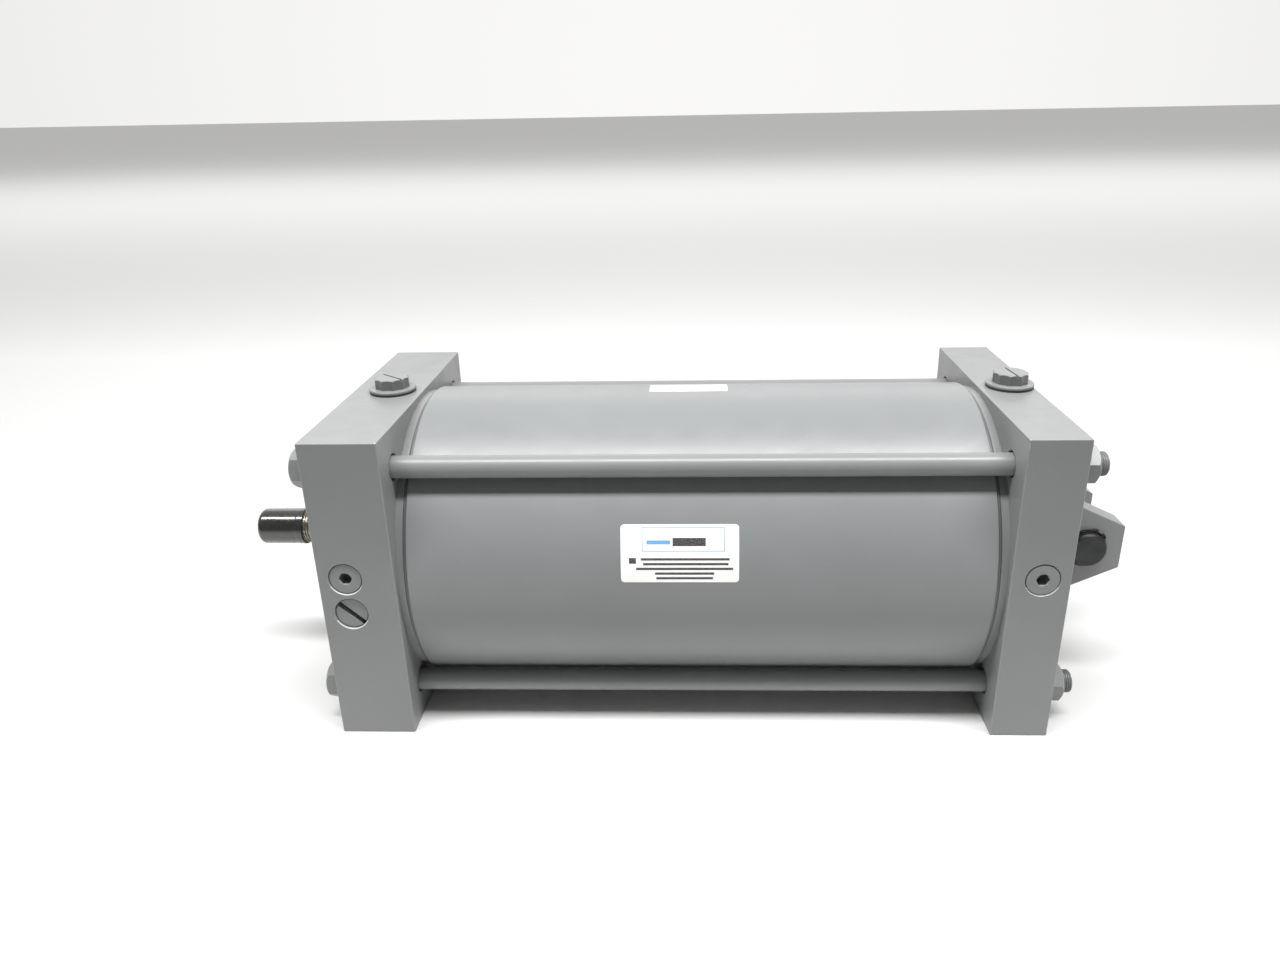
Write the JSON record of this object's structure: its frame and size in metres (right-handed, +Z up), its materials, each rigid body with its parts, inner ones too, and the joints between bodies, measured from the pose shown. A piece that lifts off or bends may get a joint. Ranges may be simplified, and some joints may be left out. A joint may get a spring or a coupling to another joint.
{
  "type": "pneumatic cylinder",
  "caption": "Tie-rod pneumatic cylinder with square end blocks, round barrel, threaded rod end under a protector, and a fixed clevis with its pin at the blind end.",
  "frame": {"origin": "centre of the bounding box in plan, on the plane that the two square blocks stand on", "axes": "+X along the cylinder axis from the rod end to the clevis, +Z up through the ports, -Y the side with the cushion needles"},
  "size_m": [0.6348, 0.216, 0.2267],
  "materials": {
    "grey_paint": "satin machine enamel over steel",
    "chrome": "hard chrome plated and polished",
    "bright_steel": "ground steel",
    "black_oxide": "black oxide",
    "black_vinyl": "glossy dipped vinyl",
    "bronze": "turned bronze",
    "aluminium": "turned",
    "wear_plastic": "filled plastic",
    "seal_rubber": "moulded nitrile",
    "label_white": "printed film"
  },
  "bodies": {
    "cylinder_body": {"head": "grey_paint", "cap": "grey_paint", "barrel_tube": "grey_paint", "head_tube_gasket": "seal_rubber", "cap_tube_gasket": "seal_rubber", "tie_rod_1": "grey_paint", "tie_rod_2": "grey_paint", "tie_rod_3": "grey_paint", "tie_rod_4": "grey_paint", "head_nut_1": "grey_paint", "head_nut_2": "grey_paint", "head_nut_3": "grey_paint", "head_nut_4": "grey_paint", "cap_nut_1": "grey_paint", "cap_nut_2": "grey_paint", "cap_nut_3": "grey_paint", "cap_nut_4": "grey_paint", "rod_bushing": "bronze", "rod_wiper": "seal_rubber", "rod_seal": "seal_rubber", "bushing_o_ring": "seal_rubber", "head_cushion_seal": "seal_rubber", "cap_cushion_seal": "seal_rubber", "bushing_retainer": "grey_paint", "retainer_screw_1": "black_oxide", "retainer_screw_2": "black_oxide", "retainer_screw_3": "black_oxide", "retainer_screw_4": "black_oxide", "check_valve_plug": "grey_paint", "clevis_bracket": "grey_paint", "clevis_screw_1": "black_oxide", "clevis_screw_2": "black_oxide", "clevis_screw_3": "black_oxide", "clevis_screw_4": "black_oxide", "barrel_label": "label_white", "serial_plate": "label_white"},
    "wear_band": {"piston_wear_band": "wear_plastic"},
    "rod_assembly": {"piston_rod": "chrome", "piston": "aluminium", "piston_seal_front": "seal_rubber", "piston_seal_rear": "seal_rubber", "cushion_sleeve": "bright_steel", "cushion_spear": "bright_steel"},
    "protector": {"thread_protector": "black_vinyl"},
    "pin": {"clevis_pin": "black_oxide", "retaining_ring_front": "black_oxide", "retaining_ring_rear": "black_oxide"},
    "head_needle_ring": {"head_cushion_needle_o_ring": "seal_rubber"},
    "head_needle": {"head_cushion_needle": "grey_paint"},
    "cap_needle_ring": {"cap_cushion_needle_o_ring": "seal_rubber"},
    "cap_needle": {"cap_cushion_needle": "grey_paint"},
    "ball": {"check_ball": "bright_steel"},
    "head_plug_gasket": {"head_port_plug_gasket": "seal_rubber"},
    "head_plug": {"head_port_plug": "grey_paint"},
    "cap_plug_gasket": {"cap_port_plug_gasket": "seal_rubber"},
    "cap_plug": {"cap_port_plug": "grey_paint"}
  },
  "joints": [
    {"name": "rod_slide", "type": "slide", "parent": "cylinder_body", "child": "wear_band", "axis": [-1, 0, 0], "range_m": [0, 0.3556]},
    {"name": "rod_spin", "type": "hinge", "parent": "wear_band", "child": "rod_assembly", "pos_m": [0, 0, 0.10795], "axis": [1, 0, 0], "continuous": true},
    {"name": "protector_pull", "type": "slide", "parent": "rod_assembly", "child": "protector", "axis": [-1, 0, 0], "range_m": [0, 0.04]},
    {"name": "pin_spin", "type": "hinge", "parent": "cylinder_body", "child": "pin", "pos_m": [0.29204, 0, 0.10795], "axis": [0, 1, 0], "continuous": true},
    {"name": "check_ball_lift", "type": "slide", "parent": "cylinder_body", "child": "ball", "axis": [0, -1, 0], "range_m": [0, 0.003]},
    {"name": "head_needle_travel", "type": "slide", "parent": "cylinder_body", "child": "head_needle_ring", "axis": [0, -1, 0], "range_m": [0, 0.00238]},
    {"name": "head_needle_turn", "type": "hinge", "parent": "head_needle_ring", "child": "head_needle", "pos_m": [-0.21383, -0.10795, 0.12098], "axis": [0, -1, 0], "range_deg": [0, 1080]},
    {"name": "cap_needle_travel", "type": "slide", "parent": "cylinder_body", "child": "cap_needle_ring", "axis": [0, -1, 0], "range_m": [0, 0.00238]},
    {"name": "cap_needle_turn", "type": "hinge", "parent": "cap_needle_ring", "child": "cap_needle", "pos_m": [0.23616, -0.10795, 0.12027], "axis": [0, -1, 0], "range_deg": [0, 1080]},
    {"name": "head_plug_travel", "type": "slide", "parent": "cylinder_body", "child": "head_plug_gasket", "axis": [0, 0, 1], "range_m": [0, 0.01269]},
    {"name": "head_plug_turn", "type": "hinge", "parent": "head_plug_gasket", "child": "head_plug", "pos_m": [-0.20288, 0, 0.2159], "axis": [0, 0, 1], "range_deg": [0, 2520]},
    {"name": "cap_plug_travel", "type": "slide", "parent": "cylinder_body", "child": "cap_plug_gasket", "axis": [0, 0, 1], "range_m": [0, 0.01269]},
    {"name": "cap_plug_turn", "type": "hinge", "parent": "cap_plug_gasket", "child": "cap_plug", "pos_m": [0.23768, 0, 0.2159], "axis": [0, 0, 1], "range_deg": [0, 2520]}
  ],
  "couplings": [
    {"joint": "head_needle_turn", "follows": "head_needle_travel", "rad_per_m": 7915.8},
    {"joint": "cap_needle_turn", "follows": "cap_needle_travel", "rad_per_m": 7915.8},
    {"joint": "head_plug_turn", "follows": "head_plug_travel", "rad_per_m": 3463.2},
    {"joint": "cap_plug_turn", "follows": "cap_plug_travel", "rad_per_m": 3463.2}
  ]
}
